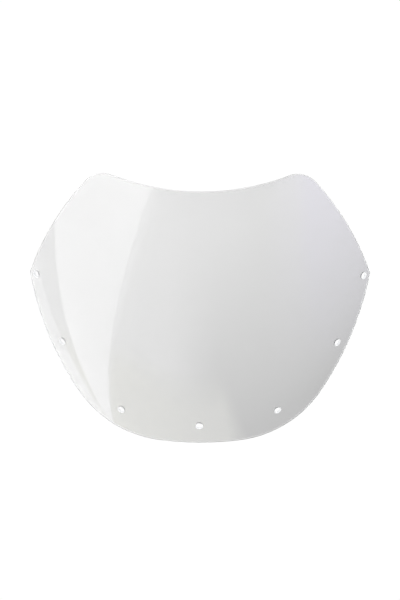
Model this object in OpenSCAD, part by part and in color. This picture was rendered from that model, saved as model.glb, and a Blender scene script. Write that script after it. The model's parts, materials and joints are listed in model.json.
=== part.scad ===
// Clear windshield screen for a motorcycle fairing.
// One sheet of clear plastic, formed to a double curve, trimmed square and drilled for its screws.
// +X is the rider's left, -Y the front, +Z up. The origin is on the centre hole, halfway through the sheet.

/* [Sheet] */
// Thickness of the sheet
sheet_t = 3; // [2:0.5:4]
// Radius of the sheet from side to side, at the mould's widest circle
across_r = 268; // [260:1:300]
// Radius of the sheet up and down
rise_r = 510; // [490:5:540]
// Lean of the mould's axis, which makes the centre hole level
rake = 40; // [38:0.5:42]

/* [Outline seen square to the mould's axis] */
// Sheet left below the centre hole
bottom_margin = 18.5; // [15:0.5:20]
// Radius of the bottom edge at its middle
bottom_r = 360; // [340:5:380]
// Turn of the bottom edge before the shoulder, in degrees
bottom_turn = 7; // [6:0.5:8]
// Radius of the round shoulder low on each side
shoulder_r = 129; // [124:1:134]
// Turn of the shoulder, in degrees
shoulder_turn = 49; // [47:0.5:51]
// Radius of the long side edge from the shoulder to the corner
side_r = 352; // [340:2:370]
// Turn of the side edge, in degrees
side_turn = 23; // [22:0.5:24]
// Radius of the outermost corner
corner_r = 5.5; // [4:0.5:8]
// Turn of the corner, in degrees
corner_turn = 30.5; // [28:0.5:32]
// Radius of the edge from the corner up to the ear
flank_r = 286; // [270:1:300]
// Turn of that edge, in degrees
flank_turn = 23.5; // [22:0.5:25]
// Radius of the ear beside the dipped top edge
ear_r = 26; // [22:1:28]
// Turn of the dipped top edge from its middle to the ear, in degrees
top_turn = 21; // [19:0.5:22]

/* [Screw holes] */
// Diameter of each hole
hole_d = 8; // [6:0.5:9]
// Low pair: distance out from the middle
low_x = 87; // [80:1:92]
// Low pair: height above the centre hole
low_h = 18; // [17:0.5:22]
// Middle pair: distance out from the middle
mid_x = 153; // [148:1:154]
// Middle pair: height above the centre hole
mid_h = 93.5; // [90:0.5:98]
// Corner pair: distance out from the middle
corner_x = 182; // [178:0.5:182]
// Corner pair: height above the centre hole
corner_h = 168; // [166:0.5:172]

/* [Hidden] */

clear_plastic = [0.86, 0.87, 0.88, 0.55];

// Longest straight step, and largest turn in one step, along the outline
step_l = 8;
step_turn = 6;

// The mould's profile is an arc of radius rise_r. It turns about an upright axis that lies arc_inset
// in front of the arc's centre. Heights on the mould, named v, count up from its widest circle.
arc_inset = rise_r - across_r;
hole_v = -rise_r * sin(rake);
bottom_v = hole_v - bottom_margin;

// The sheet before it is trimmed: what it has to spare above and below, and how far round it goes
forming_spare = 12;
forming_angle = 130;

// The trimming plug: how far its square sides pass each face of the sheet, and where its two points
// lie in front of the mould's axis, clear of both faces
plug_pass = 3;
plug_front = 1.75 * across_r;
plug_back = 0.22 * across_r;

ear_turn = 180 + top_turn - bottom_turn - shoulder_turn - side_turn - corner_turn - flank_turn;

// Half of the outline, from the bottom's middle to the ear, as [radius, turn]
EDGES = [
    [bottom_r, bottom_turn],
    [shoulder_r, shoulder_turn],
    [side_r, side_turn],
    [corner_r, corner_turn],
    [flank_r, flank_turn],
    [ear_r, ear_turn],
];

// Screw holes, as [out, up] from the centre hole: the +X side's three, then all seven
SIDE_HOLES = [[low_x, low_h], [mid_x, mid_h], [corner_x, corner_h]];
HOLES = concat([[0, 0]], SIDE_HOLES, [for (p = SIDE_HOLES) [-p[0], p[1]]]);

// Point reached on a left-turning arc that starts at p with the given heading
function arc_point(p, heading, r, turn) =
    p + r * [sin(heading + turn) - sin(heading), cos(heading) - cos(heading + turn)];

function arc_steps(r, turn) = ceil(max(abs(r * turn) * PI / 180 / step_l, abs(turn) / step_turn));

// Points of an arc after its start
function arc_points(p, heading, r, turn) =
    let (n = arc_steps(r, turn))
    [for (i = [1:n]) arc_point(p, heading, r, turn * i / n)];

// Arcs joined end to end, each leaving in the direction in which the last one arrived
function chain(p, heading, edges, i = 0) =
    i == len(edges) ? [] :
    let (r = edges[i][0], turn = edges[i][1])
    concat(
        arc_points(p, heading, r, turn),
        chain(arc_point(p, heading, r, turn), heading + turn, edges, i + 1)
    );

function last(list) = list[len(list) - 1];

// The +X half of the outline: the arcs up to the ear, then the dipped top edge back to the middle
start = [0, bottom_v];
rising = chain(start, 0, EDGES);
top_r = last(rising)[0] / sin(top_turn);
half = concat([start], rising, arc_points(last(rising), 180 + top_turn, -top_r, -top_turn));
OUTLINE = concat(
    half,
    [for (i = [len(half) - 2:-1:1]) [-half[i][0], half[i][1]]]
);
top_v = max([for (p = OUTLINE) p[1]]);

// Distance from the mould's axis to its outer face, and slope of that face, at height v
function mould_r(v) = sqrt(rise_r * rise_r - v * v) - arc_inset;
function mould_slope(v) = asin(v / rise_r);

// Point of the outer face, and its outward normal, over the point p = [x, v] of the front view
function face_point(p) = [p[0], -sqrt(pow(mould_r(p[1]), 2) - p[0] * p[0]), p[1]];
function face_normal(p) =
    let (swing = asin(p[0] / mould_r(p[1])), slope = mould_slope(p[1]))
    [sin(swing) * cos(slope), -cos(swing) * cos(slope), sin(slope)];

// Puts the centre hole at the origin with its axis level
module levelled() {
    translate([0, -sheet_t / 2, 0])
        rotate([-rake, 0, 0])
            translate([0, mould_r(hole_v), -hole_v])
                children();
}

// The formed sheet before trimming, an arc band turned about the mould's axis
module formed_blank() {
    rotate([0, 0, -90 - forming_angle / 2])
        rotate_extrude(angle = forming_angle, $fn = 360)
            intersection() {
                translate([-arc_inset, 0])
                    difference() {
                        circle(r = rise_r, $fn = 720);
                        circle(r = rise_r - sheet_t, $fn = 720);
                    }
                translate([0, bottom_v - forming_spare])
                    square([across_r + sheet_t, top_v - bottom_v + 2 * forming_spare]);
            }
}

// Solid whose sides stand square to the sheet all the way round the outline
module trimming_plug() {
    n = len(OUTLINE);
    front = [for (p = OUTLINE) face_point(p) + plug_pass * face_normal(p)];
    back = [for (p = OUTLINE) face_point(p) - (sheet_t + plug_pass) * face_normal(p)];
    middle_v = (bottom_v + top_v) / 2;
    tips = [[0, -plug_front, middle_v], [0, -plug_back, middle_v]];
    polyhedron(
        points = concat(front, back, tips),
        faces = [
            for (i = [0:n - 1])
                let (j = (i + 1) % n)
                each [[i, 2 * n, j], [i, j, n + i], [j, n + j, n + i], [n + i, n + j, 2 * n + 1]]
        ]
    );
}

module screw_bore(p) {
    normal = face_normal(p);
    translate(face_point(p))
        rotate([0, acos(normal[2]), atan2(normal[1], normal[0])])
            cylinder(d = hole_d, h = 4 * sheet_t, center = true, $fn = 96);
}

module screen_panel() {
    color(clear_plastic)
        levelled()
            difference() {
                intersection() {
                    formed_blank();
                    trimming_plug();
                }
                for (p = HOLES)
                    screw_bore([p[0], p[1] + hole_v]);
            }
}

screen_panel();
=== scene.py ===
import json
import math

import bmesh
import bpy
import numpy as np
from mathutils import Matrix, Vector
from mathutils.geometry import delaunay_2d_cdt

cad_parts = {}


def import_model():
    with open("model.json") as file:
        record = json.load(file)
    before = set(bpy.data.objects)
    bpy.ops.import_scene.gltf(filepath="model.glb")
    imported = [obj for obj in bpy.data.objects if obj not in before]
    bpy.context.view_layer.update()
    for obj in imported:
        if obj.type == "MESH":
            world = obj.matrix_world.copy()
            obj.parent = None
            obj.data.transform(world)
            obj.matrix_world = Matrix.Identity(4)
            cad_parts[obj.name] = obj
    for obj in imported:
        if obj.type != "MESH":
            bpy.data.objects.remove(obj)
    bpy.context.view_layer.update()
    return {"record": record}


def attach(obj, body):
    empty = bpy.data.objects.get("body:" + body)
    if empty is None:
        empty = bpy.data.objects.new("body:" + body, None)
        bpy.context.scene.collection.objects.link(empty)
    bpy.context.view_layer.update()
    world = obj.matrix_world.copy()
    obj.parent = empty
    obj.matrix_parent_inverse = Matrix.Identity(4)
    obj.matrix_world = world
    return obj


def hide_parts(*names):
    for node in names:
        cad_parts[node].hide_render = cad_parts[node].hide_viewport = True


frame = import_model()

# ---------------------------------------------------------------- the sheet, in metres and degrees
# The same design as the CAD node: an arc turned about the mould's axis, trimmed square and drilled.

SHEET_T = 0.003
ACROSS_R = 0.268
RISE_R = 0.510
RAKE = math.radians(40)
BOTTOM_MARGIN = 0.0185

# Half of the outline, seen square to the mould's axis, as (radius, turn) from the bottom's middle
EDGES = [
    (0.360, 7),     # middle of the bottom edge
    (0.129, 49),    # shoulder
    (0.352, 23),    # side
    (0.0055, 30.5),  # corner
    (0.286, 23.5),  # flank up to the ear
]
EAR_R = 0.026
TOP_TURN = 21

ARC_INSET = RISE_R - ACROSS_R
HOLE_V = -RISE_R * math.sin(RAKE)

# ---------------------------------------------------------------- mesh fineness and edge finish

OUTLINE_STEP = 0.002
OUTLINE_TURN = math.radians(4)
GRID_STEP = 0.004
GRID_CLEAR = 0.0018
BORE_SIDES = 72
RIM_ROUND = 0.0007
BORE_ROUND = 0.00015
ROUND_STEPS = 5
HOLD = 0.0003           # face kept true this far in from each rounded edge
WELD = 1e-7             # points closer than this are one
QUAD_FOLD = math.radians(10)      # most that two triangles may fold where they join into a quad
QUAD_SKEW = math.radians(25)      # and most that the quad's corners may be off square

FACE, RIM, BORE = range(3)   # material slots


# ---------------------------------------------------------------- the mould's surface

def mould_r(v):
    """Distance from the mould's axis to the outer face, at height v from its widest circle."""
    return np.sqrt(RISE_R ** 2 - v ** 2) - ARC_INSET


def roll_up(swing, slope, depth):
    """Points this deep under the outer face, from their swing about the axis and their slope."""
    arc = RISE_R - depth
    r = arc * np.cos(slope) - ARC_INSET
    return np.stack((r * np.sin(swing), -r * np.cos(swing), arc * np.sin(slope)), axis=-1)


def swing_and_slope(points):
    """Swing of points about the mould's axis, and the slope of its faces there, in radians."""
    r = np.hypot(points[:, 0], points[:, 1])
    swing = np.arctan2(points[:, 0], -points[:, 1])
    slope = np.arctan2(points[:, 2], r + ARC_INSET)
    return swing, slope


def normals(swing, slope):
    """Outward normals of the faces."""
    return np.stack(
        (np.sin(swing) * np.cos(slope), -np.cos(swing) * np.cos(slope), np.sin(slope)), axis=-1
    )


def settle(points, depth):
    """The nearest points that lie this deep under the outer face."""
    return roll_up(*swing_and_slope(points), depth)


def flat(points):
    """Near-flat map of points on the sheet, for meshing."""
    swing, slope = swing_and_slope(points)
    return np.stack((swing * ACROSS_R, slope * RISE_R), axis=-1)


def lift(flat_points, depth):
    """Points of the flat map put back this deep under the outer face."""
    return roll_up(flat_points[:, 0] / ACROSS_R, flat_points[:, 1] / RISE_R, depth)


def level_matrix():
    """From the mould to the row frame: the centre hole goes to the origin with its axis level."""
    to_hole = Matrix.Translation((0, float(mould_r(HOLE_V)), -HOLE_V))
    lean = Matrix.Rotation(-RAKE, 4, "X")
    to_middle = Matrix.Translation((0, -SHEET_T / 2, 0))
    return to_middle @ lean @ to_hole


# ---------------------------------------------------------------- the outline

def arc_points(start, heading, r, turn):
    """Points of a left-turning arc after its start."""
    steps = math.ceil(max(abs(r * turn) / OUTLINE_STEP, abs(turn) / OUTLINE_TURN))
    angles = heading + turn * np.arange(1, steps + 1) / steps
    return np.stack(
        (
            start[0] + r * (np.sin(angles) - math.sin(heading)),
            start[1] + r * (math.cos(heading) - np.cos(angles)),
        ),
        axis=-1,
    )


def outline():
    """The closed outline in the front view, anticlockwise from the bottom's middle."""
    top_turn = math.radians(TOP_TURN)
    edges = [(r, math.radians(turn)) for r, turn in EDGES]
    ear_turn = math.pi + top_turn - sum(turn for _, turn in edges)
    points = np.array([[0.0, HOLE_V - BOTTOM_MARGIN]])
    heading = 0.0
    for r, turn in edges + [(EAR_R, ear_turn)]:
        points = np.vstack((points, arc_points(points[-1], heading, r, turn)))
        heading += turn
    top_r = points[-1, 0] / math.sin(top_turn)
    points = np.vstack((points, arc_points(points[-1], heading, -top_r, -top_turn)))
    return np.vstack((points, points[-2:0:-1] * [-1, 1]))


def on_outer_face(points):
    """Front-view points carried back onto the outer face."""
    y = -np.sqrt(mould_r(points[:, 1]) ** 2 - points[:, 0] ** 2)
    return np.stack((points[:, 0], y, points[:, 1]), axis=-1)


# ---------------------------------------------------------------- edge rings

def rounded_edge(radius):
    """(inset, depth) across an edge with both corners rounded, from the outer face to the inner one."""
    angles = np.linspace(0, math.pi / 2, ROUND_STEPS + 1)
    arc = [(radius * (1 - math.sin(a)), radius * (1 - math.cos(a))) for a in angles]
    outer = [(radius + HOLD, 0.0)] + arc
    inner = [(inset, SHEET_T - depth) for inset, depth in reversed(outer)]
    return outer + inner


def rim_rings(edge):
    """Rings round the trimmed edge, from the outer face over to the inner one."""
    along = np.roll(edge, -1, axis=0) - np.roll(edge, 1, axis=0)
    outward = np.cross(along, normals(*swing_and_slope(edge)))
    outward /= np.linalg.norm(outward, axis=1)[:, None]
    return [settle(edge - inset * outward, depth) for inset, depth in rounded_edge(RIM_ROUND)]


def bore_rings(mount, to_mould):
    """Rings down one screw hole."""
    centre = np.array(to_mould @ Vector(mount["pos_m"]))
    axis = (to_mould.to_3x3() @ Vector(mount["axis"])).normalized()
    side = axis.orthogonal().normalized()
    other = axis.cross(side)
    angles = np.linspace(0, 2 * math.pi, BORE_SIDES, endpoint=False)
    spokes = np.outer(np.cos(angles), side) + np.outer(np.sin(angles), other)
    r = mount["dims"]["r_mm"] / 1000
    return [
        settle(centre + (r + inset) * spokes + (SHEET_T / 2 - depth) * np.array(axis), depth)
        for inset, depth in rounded_edge(BORE_ROUND)
    ]


# ---------------------------------------------------------------- the faces

def inside(points, loop):
    """Which points lie inside a closed loop, by counting the edges that each one's ray crosses."""
    a = loop
    b = np.roll(loop, -1, axis=0)
    px = points[:, 0][:, None]
    py = points[:, 1][:, None]
    spans = (a[:, 1] > py) != (b[:, 1] > py)
    rise = np.where(b[:, 1] == a[:, 1], 1.0, b[:, 1] - a[:, 1])
    crossing = a[:, 0] + (py - a[:, 1]) / rise * (b[:, 0] - a[:, 0])
    return (np.sum(spans & (crossing > px), axis=1) % 2) == 1


def grid_points(rim, bores):
    """Square grid over the face, kept clear of its edges."""
    low = rim.min(axis=0)
    high = rim.max(axis=0)
    columns = round((high[0] - low[0]) / GRID_STEP)
    rows = round((high[1] - low[1]) / GRID_STEP)
    x, y = np.meshgrid(np.linspace(low[0], high[0], columns + 1), np.linspace(low[1], high[1], rows + 1))
    points = np.stack((x.ravel(), y.ravel()), axis=-1)
    keep = inside(points, rim)
    for bore in bores:
        keep &= ~inside(points, bore)
    points = points[keep]
    edges = np.vstack([rim] + bores)
    gaps = np.linalg.norm(points[:, None] - edges[None], axis=2).min(axis=1)
    return points[gaps > GRID_CLEAR]


def loop_edges(start, count):
    """Index pairs round a closed loop."""
    return [(start + i, start + (i + 1) % count) for i in range(count)]


def face_triangles(rim, bores):
    """Flat points of one face and its triangles. The rim's points come first, then each bore's."""
    loops = [rim] + bores
    points = np.vstack(loops + [grid_points(rim, bores)])
    edges = []
    start = 0
    for loop in loops:
        edges += loop_edges(start, len(loop))
        start += len(loop)
    inside_only = 1
    found = delaunay_2d_cdt([Vector(p) for p in points], edges, [], inside_only, WELD)
    out_points = np.array(found[0])
    triangles = np.array(found[2])
    middles = out_points[triangles].mean(axis=1)
    keep = np.ones(len(triangles), bool)
    for bore in bores:
        keep &= ~inside(middles, bore)
    return out_points, triangles[keep]


# ---------------------------------------------------------------- the whole panel

class Builder:
    """Collects points and faces, each face with its material slot."""

    def __init__(self):
        self.points = []
        self.faces = []
        self.slots = []

    def add_points(self, points):
        start = len(self.points)
        self.points += [tuple(p) for p in points]
        return np.arange(start, len(self.points))

    def add_faces(self, faces, slot):
        self.faces += [tuple(int(i) for i in face) for face in faces]
        self.slots += [slot] * len(faces)

    def bridge(self, one, two, slot):
        """Quads between two closed rings of the same length."""
        one_next = np.roll(one, -1)
        two_next = np.roll(two, -1)
        self.add_faces(np.stack((one, two, two_next, one_next), axis=-1), slot)


def panel_mesh():
    """The sheet as one closed mesh: two faces, joined round the rim and down each bore by rings."""
    to_row = level_matrix()
    to_mould = to_row.inverted()
    rim = rim_rings(on_outer_face(outline()))
    bores = [bore_rings(mount, to_mould) for mount in frame["record"]["mounts"]]
    flat_points, triangles = face_triangles(flat(rim[0]), [flat(rings[0]) for rings in bores])

    build = Builder()
    edge_count = len(rim[0]) + sum(len(rings[0]) for rings in bores)
    middle = flat_points[edge_count:]
    outer_edge = np.vstack([rim[0]] + [rings[0] for rings in bores])
    inner_edge = np.vstack([rim[-1]] + [rings[-1] for rings in bores])
    outer = build.add_points(np.vstack((outer_edge, lift(middle, 0.0))))
    inner = build.add_points(np.vstack((inner_edge, lift(middle, SHEET_T))))
    build.add_faces(outer[triangles], FACE)
    build.add_faces(inner[triangles[:, ::-1]], FACE)

    start = 0
    for rings, slot in [(rim, RIM)] + [(rings, BORE) for rings in bores]:
        count = len(rings[0])
        last = outer[start:start + count]
        for i, ring in enumerate(rings[1:-1], start=1):
            now = build.add_points(ring)
            build.bridge(last, now, FACE if i == 1 else slot)
            last = now
        build.bridge(last, inner[start:start + count], FACE)
        start += count

    mesh = bpy.data.meshes.new("screen_panel_detailed")
    mesh.from_pydata(build.points, [], build.faces)
    mesh.polygons.foreach_set("material_index", build.slots)
    mesh.transform(to_row)
    return mesh


def square_up(mesh):
    """Joins pairs of triangles into quads, makes every face point outwards and shades it smooth."""
    bm = bmesh.new()
    bm.from_mesh(mesh)
    triangles = [f for f in bm.faces if len(f.verts) == 3]
    bmesh.ops.join_triangles(
        bm,
        faces=triangles,
        cmp_materials=True,
        angle_face_threshold=QUAD_FOLD,
        angle_shape_threshold=QUAD_SKEW,
    )
    bmesh.ops.recalc_face_normals(bm, faces=bm.faces)
    for f in bm.faces:
        f.smooth = True
    bm.to_mesh(mesh)
    bm.free()


def screen_panel():
    mesh = panel_mesh()
    square_up(mesh)
    panel = bpy.data.objects.new("screen_sheet", mesh)
    bpy.context.scene.collection.objects.link(panel)
    for material in (clear_sheet(), trimmed_edge(), drilled_bore()):
        mesh.materials.append(material)
    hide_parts("screen_panel")
    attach(panel, "root")
    return panel


# ---------------------------------------------------------------- materials

CLEAR_IOR = 1.49
SMOKE = (0.59, 0.59, 0.59, 1.0)         # what the tinted sheet lets through
FROSTED = (0.96, 0.96, 0.96, 1.0)       # what its trimmed edge lets through
DRILL_WHITE = (0.97, 0.98, 0.99, 1.0)   # plastic whitened by the drill, which only scatters light
NOISE_SPAN = (0.35, 0.65)               # where most of a noise's values lie


class Nodes:
    """Shorthand for building one node tree."""

    def __init__(self, tree):
        self.tree = tree
        self.tree.nodes.clear()

    def add(self, kind, settings=None, **inputs):
        """A new node. An input's name has _ for a space; its value is a socket or a plain value."""
        node = self.tree.nodes.new(kind)
        for name, value in (settings or {}).items():
            setattr(node, name, value)
        for name, value in inputs.items():
            socket = node.inputs[name.replace("_", " ")]
            if isinstance(value, bpy.types.NodeSocket):
                self.link(value, socket)
            else:
                socket.default_value = value
        return node

    def link(self, one, two):
        self.tree.links.new(one, two)

    def math(self, operation, one, two):
        node = self.add("ShaderNodeMath", {"operation": operation})
        for socket, value in zip(node.inputs, (one, two)):
            if isinstance(value, bpy.types.NodeSocket):
                self.link(value, socket)
            else:
                socket.default_value = value
        return node.outputs[0]

    def spread(self, value, from_low, from_high, low, high):
        """Maps a value from one range onto another."""
        node = self.add(
            "ShaderNodeMapRange",
            Value=value,
            From_Min=from_low,
            From_Max=from_high,
            To_Min=low,
            To_Max=high,
        )
        return node.outputs["Result"]

    def along(self, direction, axis):
        """How far a direction goes along an axis."""
        node = self.add("ShaderNodeVectorMath", {"operation": "DOT_PRODUCT"})
        self.link(direction, node.inputs[0])
        node.inputs[1].default_value = axis
        return node.outputs["Value"]

    def noise(self, scale, detail=2.0):
        """Noise over the part, from about 0.3 to 0.7. scale is in bumps a metre."""
        place = self.add("ShaderNodeTexCoord").outputs["Object"]
        return self.add("ShaderNodeTexNoise", Vector=place, Scale=scale, Detail=detail).outputs["Fac"]

    def patches(self, scale, low, high, detail=2.0):
        """Patches over the part, with values from low to high."""
        return self.spread(self.noise(scale, detail), *NOISE_SPAN, low, high)

    def bump(self, height, distance, under=None):
        """A normal from a height map. distance is the height's full swing, in metres."""
        node = self.add("ShaderNodeBump", Height=height, Distance=distance)
        if under is not None:
            self.link(under, node.inputs["Normal"])
        return node.outputs["Normal"]


def new_material(name):
    """An empty material, with the Nodes to fill it and its output."""
    material = bpy.data.materials.new(name)
    material.use_nodes = True
    n = Nodes(material.node_tree)
    return material, n, n.add("ShaderNodeOutputMaterial")


def plastic(name, colour, clearness, roughness, normal):
    """One finish of the plastic. roughness and normal are functions of its Nodes."""
    material, n, output = new_material(name)
    surface = n.add(
        "ShaderNodeBsdfPrincipled",
        Base_Color=colour,
        IOR=CLEAR_IOR,
        Transmission_Weight=clearness,
        Roughness=roughness(n),
        Normal=normal(n),
    )
    n.link(surface.outputs["BSDF"], output.inputs["Surface"])
    return material


def clear_sheet():
    """Polished, with faint duller patches from handling, the long shallow ripple of forming and a trace of
    orange peel."""

    def roughness(n):
        return n.patches(14, 0.012, 0.045, detail=4)

    def normal(n):
        ripple = n.bump(n.noise(9, detail=1), 0.00006)
        return n.bump(n.noise(160), 0.000001, under=ripple)   # the orange peel

    return plastic("clear_sheet", SMOKE, 1.0, roughness, normal)


def trimmed_edge():
    """Routed and lightly scraped: matt, with the cutter's fine chatter."""

    def roughness(n):
        return n.patches(60, 0.45, 0.60, detail=3)

    def normal(n):
        return n.bump(n.noise(900), 0.000008)

    return plastic("trimmed_edge", FROSTED, 1.0, roughness, normal)


def drilled_bore():
    """Left as drilled: whitened and finely torn."""

    def roughness(n):
        return n.patches(700, 0.40, 0.65)

    def normal(n):
        return n.bump(n.noise(2500), 0.000004)

    return plastic("drilled_bore", DRILL_WHITE, 0.0, roughness, normal)


# ---------------------------------------------------------------- studio
# Directly, and through the sheet, only the pale floor and world show. What the sheet reflects is a
# studio: pale walls, a softbox at the front left, a table and boards drawn as planes that glow only in
# reflections (painted light standing in for their lit tops), and the room dark low on the right.

VIEW_SPAN = 0.666           # height of the picture
VIEW_DISTANCE = 2.0
VIEW_CENTRE = (0.0001, 0.1392)    # across, and up the front view from the centre hole
VIEW_ROLL = math.radians(0.25)

FLOOR_Z = -1.2              # and the table top's height
FLOOR_SIZE = 80.0
PALE = (1.0, 1.0, 1.0, 1.0)
PALE_RADIANCE = 1.02

SOFTBOX_AIM = (0, 0.04, 0.13)
SOFTBOX_AZIMUTH = math.radians(-50)
SOFTBOX_ELEVATION = math.radians(-8)
SOFTBOX_DISTANCE = 1.0
SOFTBOX_FOOT = [(-0.30, -1.05), (-0.285, -1.05)]     # lower corners, in its own plane
SOFTBOX_HEAD = [(-0.67, 1.0), (0.69, 1.0)]           # upper corners
SOFTBOX_RADIANCE = (3.0, 6.4)                        # at its foot and at its head
SOFTBOX_RISE = 0.6                                   # below 1, the radiance rises fastest at the foot
# How far the softbox covers the wall behind it, as (share of its width, cover): a halo past its edge
SOFTBOX_COVER = [(0.0, 1.0), (0.76, 1.0), (0.865, 0.85), (0.872, 0.38), (1.0, 0.0)]

TABLE_RIGHT = 0.70
TABLE_LEFT = -4.0
TABLE_BACK = 0.25
TABLE_FRONT = -0.42
# painted light: how brightly the table top's stand-in glows in reflections
TABLE_RADIANCE = 4.1
TABLE_FADE = 0.24           # how softly it and the boards end on the right
TABLE_EDGE = 0.10           # how softly it ends over the boards

BOARDS_FRONT = -2.9
BOARDS_LEFT = -2.3
BOARDS_DROP = 0.001         # how far they lie below the white top
BOARDS_FRONT_FADE = 1.2     # how far back from their front edge their painted glow comes up out of the dark
BOARDS_LEFT_FADE = 0.8      # and how far in from their left end
BOARDS_RADIANCE = (3.4, 1.5)      # at their left and right ends: painted light that dims to the right, as under shade
# painted light: the warm tint of the boards' glow
BOARDS_GLOW_TINT = (1.0, 1.0, 0.90, 1.0)

# What the walls give off, as (x of the direction, radiance, tint): high up, then low down
FAINT_LILAC = (0.93, 0.92, 1.0, 1.0)
LILAC = (0.84, 0.81, 1.0, 1.0)
WALL_HIGH = [
    (-1.0, 4.7, PALE),
    (-0.6, 4.4, PALE),
    (0.0, 3.5, PALE),
    (0.5, 3.0, PALE),
    (0.72, 3.6, FAINT_LILAC),
    (0.80, 4.1, LILAC),
    (1.0, 4.5, LILAC),
]
WALL_LOW = [(-1.0, 2.8, PALE), (-0.6, 2.8, PALE), (-0.25, 2.4, PALE), (0.15, 0.1, PALE), (1.0, 0.0, PALE)]
LOW_SLOPE = -0.70           # z of the direction below which WALL_LOW shows alone
HIGH_SLOPE = 0.25           # and above which WALL_HIGH does
# Reflections off the faces all head down the front view. Light caught by the cut edges comes from up it
# or from far behind, where the room is as pale as the floor. The walls end at these parts of a direction:
WALLS_UP = -0.12
WALLS_BACK = 0.5


def front_view(across, up, out):
    """A point given square to the mould's axis: across, up along the axis and out towards the viewer."""
    up_axis = Vector((0, math.sin(RAKE), math.cos(RAKE)))
    out_axis = Vector((0, -math.cos(RAKE), math.sin(RAKE)))
    return Vector((across, 0, 0)) + up * up_axis + out * out_axis


def camera():
    """Looks square to the mould's axis without perspective, as a long lens does from far away."""
    data = bpy.data.cameras.new("view")
    data.type = "ORTHO"
    data.sensor_fit = "VERTICAL"
    data.ortho_scale = VIEW_SPAN
    data.clip_end = 10 * VIEW_DISTANCE
    ob = bpy.data.objects.new("view", data)
    place = front_view(*VIEW_CENTRE, VIEW_DISTANCE)
    aim = front_view(*VIEW_CENTRE, 0)
    turn = (aim - place).to_track_quat("-Z", "Y").to_matrix().to_4x4()
    ob.matrix_world = Matrix.Translation(place) @ turn @ Matrix.Rotation(VIEW_ROLL, 4, "Z")
    bpy.context.scene.collection.objects.link(ob)
    bpy.context.scene.camera = ob


def reflected(n):
    """1 where something is seen in a reflection, 0 where it is seen directly or through the sheet."""
    return n.math("GREATER_THAN", n.add("ShaderNodeLightPath").outputs["Glossy Depth"], 0.5)


def glow(n, colour, radiance):
    """Light of one colour. radiance is a number or a socket."""
    return n.add("ShaderNodeEmission", Color=colour, Strength=radiance).outputs["Emission"]


def stage_plane(name, foot, head, material, cells=1):
    """A flat stage piece between its foot and its head, each given by its two ends, left first. One that
    widens is cut into cells, so that the place on it stays even. No ray is aimed at it as at a lamp."""
    steps = np.linspace(0, 1, cells + 1)
    u, v = (grid.ravel() for grid in np.meshgrid(steps, steps))
    foot, head = np.array(foot), np.array(head)
    low = foot[0] + u[:, None] * (foot[1] - foot[0])
    high = head[0] + u[:, None] * (head[1] - head[0])
    points = low + v[:, None] * (high - low)
    row = cells + 1
    faces = [
        (i + j * row, i + 1 + j * row, i + 1 + (j + 1) * row, i + (j + 1) * row)
        for j in range(cells)
        for i in range(cells)
    ]
    mesh = bpy.data.meshes.new(name)
    mesh.from_pydata(points.tolist(), [], faces)
    place = mesh.uv_layers.new(name="place")
    corners = np.array(faces).ravel()
    place.uv.foreach_set("vector", np.stack((u[corners], v[corners]), axis=-1).ravel())
    mesh.materials.append(material)
    material.cycles.emission_sampling = "NONE"
    ob = bpy.data.objects.new(name, mesh)
    bpy.context.scene.collection.objects.link(ob)


def mixed(n, share, one, two):
    """The first shader at share 0, the second at share 1."""
    node = n.add("ShaderNodeMixShader", Fac=share)
    n.link(one, node.inputs[1])
    n.link(two, node.inputs[2])
    return node.outputs["Shader"]


def place_on_plane(n):
    """Across and up a stage plane, each from 0 to 1."""
    split = n.add("ShaderNodeSeparateXYZ", Vector=n.add("ShaderNodeTexCoord").outputs["UV"])
    return split.outputs["X"], split.outputs["Y"]


def ramp(n, value, stops):
    """A colour ramp over a value from 0 to 1 through (position, colour) stops."""
    node = n.add("ShaderNodeValToRGB", Fac=value)
    elements = node.color_ramp.elements
    while len(elements) < len(stops):
        elements.new(0.5)
    for element, (position, colour) in zip(elements, stops):
        element.position = position
        element.color = colour
    return node.outputs["Color"]


def reflection_material(name, colour, radiance, cover):
    """Gives off light in reflections and is clear otherwise. radiance and cover are functions of its
    Nodes and of the place across and up the plane."""
    material, n, output = new_material(name)
    clear = n.add("ShaderNodeBsdfTransparent").outputs["BSDF"]
    across, up = place_on_plane(n)
    share = n.math("MULTIPLY", reflected(n), cover(n, across, up))
    shader = mixed(n, share, clear, glow(n, colour, radiance(n, across, up)))
    n.link(shader, output.inputs["Surface"])
    return material


def floor():
    """Pale, and seen directly and through the sheet. Reflections pass it by."""
    material, n, output = new_material("floor")
    clear = n.add("ShaderNodeBsdfTransparent").outputs["BSDF"]
    shader = mixed(n, reflected(n), glow(n, PALE, PALE_RADIANCE), clear)
    n.link(shader, output.inputs["Surface"])
    half = FLOOR_SIZE / 2
    near = [(-half, -half, FLOOR_Z), (half, -half, FLOOR_Z)]
    far = [(-half, half, FLOOR_Z), (half, half, FLOOR_Z)]
    stage_plane("floor", near, far, material)


def fade_right(n, across, left):
    """Cover that drops to nothing towards the table's right edge, on a plane that starts at left."""
    return n.spread(across, 1 - TABLE_FADE / (TABLE_RIGHT - left), 1, 1, 0)


def table():
    """The table's white top, as a painted reflection: a plane that glows only in reflections, standing in
    for the lit top, and fades out at its front and right edges.
    """

    def radiance(n, across, up):
        return TABLE_RADIANCE

    def cover(n, across, up):
        front = n.spread(up, 0, TABLE_EDGE / (TABLE_BACK - TABLE_FRONT), 0, 1)
        return n.math("MULTIPLY", front, fade_right(n, across, TABLE_LEFT))

    material = reflection_material("table_top_glow", PALE, radiance, cover)
    near = [(TABLE_LEFT, TABLE_FRONT, FLOOR_Z), (TABLE_RIGHT, TABLE_FRONT, FLOOR_Z)]
    far = [(TABLE_LEFT, TABLE_BACK, FLOOR_Z), (TABLE_RIGHT, TABLE_BACK, FLOOR_Z)]
    stage_plane("table_top_glow", near, far, material)


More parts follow.
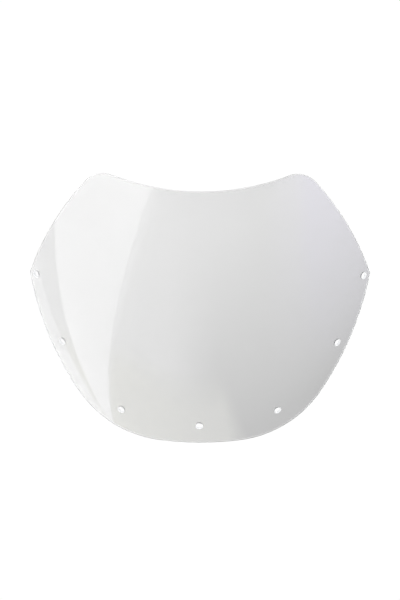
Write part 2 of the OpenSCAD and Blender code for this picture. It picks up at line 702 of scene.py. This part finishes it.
def boards():
    """Bare boards below and in front of the white top, as a painted reflection: a plane that glows only in
    reflections. Its painted light darkens to the right and comes up out of painted dark from the front and
    the left."""
    back = TABLE_FRONT + TABLE_EDGE

    def radiance(n, across, up):
        return n.spread(across, 0, 1, *BOARDS_RADIANCE)

    def cover(n, across, up):
        front = n.spread(up, 0, BOARDS_FRONT_FADE / (back - BOARDS_FRONT), 0, 1)
        left = n.spread(across, 0, BOARDS_LEFT_FADE / (TABLE_RIGHT - BOARDS_LEFT), 0, 1)
        sides = n.math("MULTIPLY", left, fade_right(n, across, BOARDS_LEFT))
        return n.math("MULTIPLY", front, sides)

    material = reflection_material("boards", BOARDS_GLOW_TINT, radiance, cover)
    z = FLOOR_Z - BOARDS_DROP
    near = [(BOARDS_LEFT, BOARDS_FRONT, z), (TABLE_RIGHT, BOARDS_FRONT, z)]
    far = [(BOARDS_LEFT, back, z), (TABLE_RIGHT, back, z)]
    stage_plane("boards", near, far, material)


def softbox():
    """A tall softbox, brightest at its head, with a halo along its right side."""

    def radiance(n, across, up):
        return n.spread(n.math("POWER", up, SOFTBOX_RISE), 0, 1, *SOFTBOX_RADIANCE)

    def cover(n, across, up):
        return ramp(n, across, [(share, (c, c, c, 1.0)) for share, c in SOFTBOX_COVER])

    material = reflection_material("softbox", PALE, radiance, cover)
    to_light = Vector(
        (
            math.sin(SOFTBOX_AZIMUTH) * math.cos(SOFTBOX_ELEVATION),
            -math.cos(SOFTBOX_AZIMUTH) * math.cos(SOFTBOX_ELEVATION),
            math.sin(SOFTBOX_ELEVATION),
        )
    )
    across = Vector((math.cos(SOFTBOX_AZIMUTH), math.sin(SOFTBOX_AZIMUTH), 0))
    up = to_light.cross(across)
    centre = Vector(SOFTBOX_AIM) + SOFTBOX_DISTANCE * to_light
    foot, head = (
        [tuple(centre + a * across + b * up) for a, b in ends] for ends in (SOFTBOX_FOOT, SOFTBOX_HEAD)
    )
    stage_plane("softbox", foot, head, material, cells=32)


def wall_light(n, x, stops):
    """Background light along X through (x, radiance, tint) stops."""
    peak = max(radiance for _, radiance, _ in stops)
    colours = [
        ((position + 1) / 2, [c * radiance / peak for c in tint[:3]] + [1.0])
        for position, radiance, tint in stops
    ]
    colour = ramp(n, n.spread(x, -1, 1, 0, 1), colours)
    return n.add("ShaderNodeBackground", Color=colour, Strength=peak).outputs["Background"]


def among_walls(n, direction):
    """1 towards the walls, 0 where the room is as pale as the floor."""
    up = n.along(direction, front_view(0, 1, 0))
    back = n.along(direction, front_view(0, 0, -1))
    return n.math("MULTIPLY", n.math("LESS_THAN", up, WALLS_UP), n.math("LESS_THAN", back, WALLS_BACK))


def world():
    """Pale all round, apart from the walls, which only reflections see."""
    made = bpy.data.worlds.new("studio")
    made.use_nodes = True
    made.cycles.sampling_method = "NONE"
    n = Nodes(made.node_tree)
    output = n.add("ShaderNodeOutputWorld")
    direction = n.add("ShaderNodeTexCoord").outputs["Generated"]
    split = n.add("ShaderNodeSeparateXYZ", Vector=direction)
    low = wall_light(n, split.outputs["X"], WALL_LOW)
    high = wall_light(n, split.outputs["X"], WALL_HIGH)
    walls = mixed(n, n.spread(split.outputs["Z"], LOW_SLOPE, HIGH_SLOPE, 0, 1), low, high)
    pale = n.add("ShaderNodeBackground", Color=PALE, Strength=PALE_RADIANCE).outputs["Background"]
    share = n.math("MULTIPLY", reflected(n), among_walls(n, direction))
    n.link(mixed(n, share, pale, walls), output.inputs["Surface"])
    bpy.context.scene.world = made


def studio():
    camera()
    floor()
    table()
    boards()
    softbox()
    world()
    bpy.context.scene.view_settings.view_transform = "Standard"


screen_panel()
studio()
